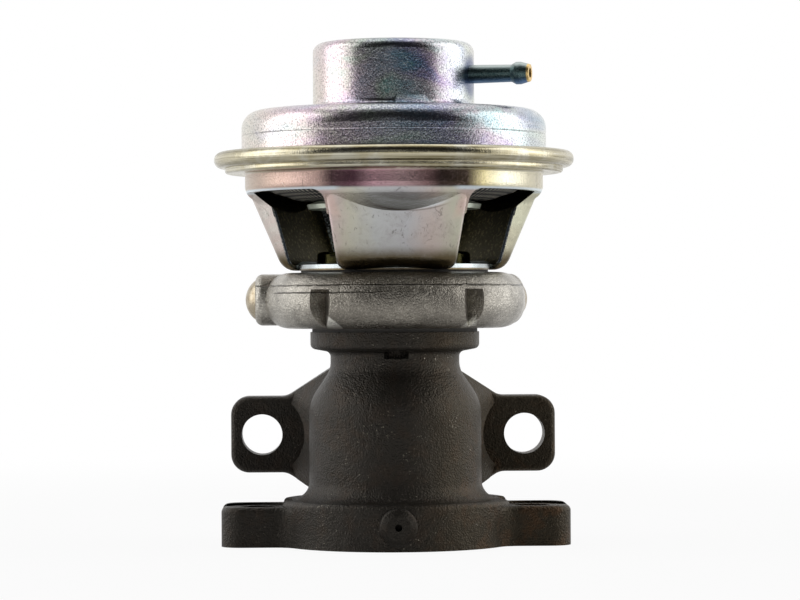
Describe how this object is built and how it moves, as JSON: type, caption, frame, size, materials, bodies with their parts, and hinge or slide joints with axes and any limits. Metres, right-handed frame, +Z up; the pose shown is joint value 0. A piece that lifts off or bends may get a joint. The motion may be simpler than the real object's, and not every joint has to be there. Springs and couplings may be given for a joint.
{
  "type": "exhaust gas recirculation valve",
  "caption": "Vacuum-operated exhaust gas recirculation valve: iron body with flanged ports, aluminium spacer, windowed pressed cup, rolled rim, stepped cap and hose nipple.",
  "frame": {"origin": "centre of the base port on the underside of the base flange", "axes": "+Z up along the valve stem, -Y to the front boss, +Y to the rear flange, +X to the hose nipple side"},
  "size_m": [0.0772, 0.0772, 0.1075],
  "materials": {
    "cast_iron": "rough",
    "cast_aluminium": "sand cast",
    "chromate_steel": "pearly chromate",
    "plated_steel": "grainy plated",
    "bright_steel": "satin",
    "machined_steel": "machined",
    "bronze": "sintered",
    "rubber": "fabric faced",
    "gasket": "matte"
  },
  "bodies": {
    "housing": {"valve_body": "cast_iron", "valve_seat": "machined_steel", "stem_guide_bush": "bronze", "soot_deflector": "machined_steel", "stem_seal": "rubber", "seal_retainer": "bright_steel", "body_gasket": "gasket", "spacer_ring": "cast_aluminium", "core_plug_left": "bright_steel", "core_plug_right": "bright_steel", "housing_gasket": "gasket", "lower_housing": "chromate_steel", "housing_screws": "chromate_steel", "screw_washers": "chromate_steel", "diaphragm": "rubber", "return_spring": "machined_steel", "spring_seat": "bright_steel", "upper_housing": "plated_steel", "vacuum_nipple": "plated_steel"},
    "valve": {"poppet": "machined_steel", "poppet_nut": "machined_steel", "valve_stem": "machined_steel", "lower_plate": "bright_steel", "upper_plate": "bright_steel", "stem_washer": "bright_steel", "stem_nut": "bright_steel"}
  },
  "joints": [
    {"name": "valve_lift", "type": "slide", "parent": "housing", "child": "valve", "axis": [0, 0, 1], "range_m": [0, 0.0055], "stiffness_N_per_m": 4000, "springref_m": -0.003, "deforming": ["return_spring", "diaphragm"]}
  ]
}
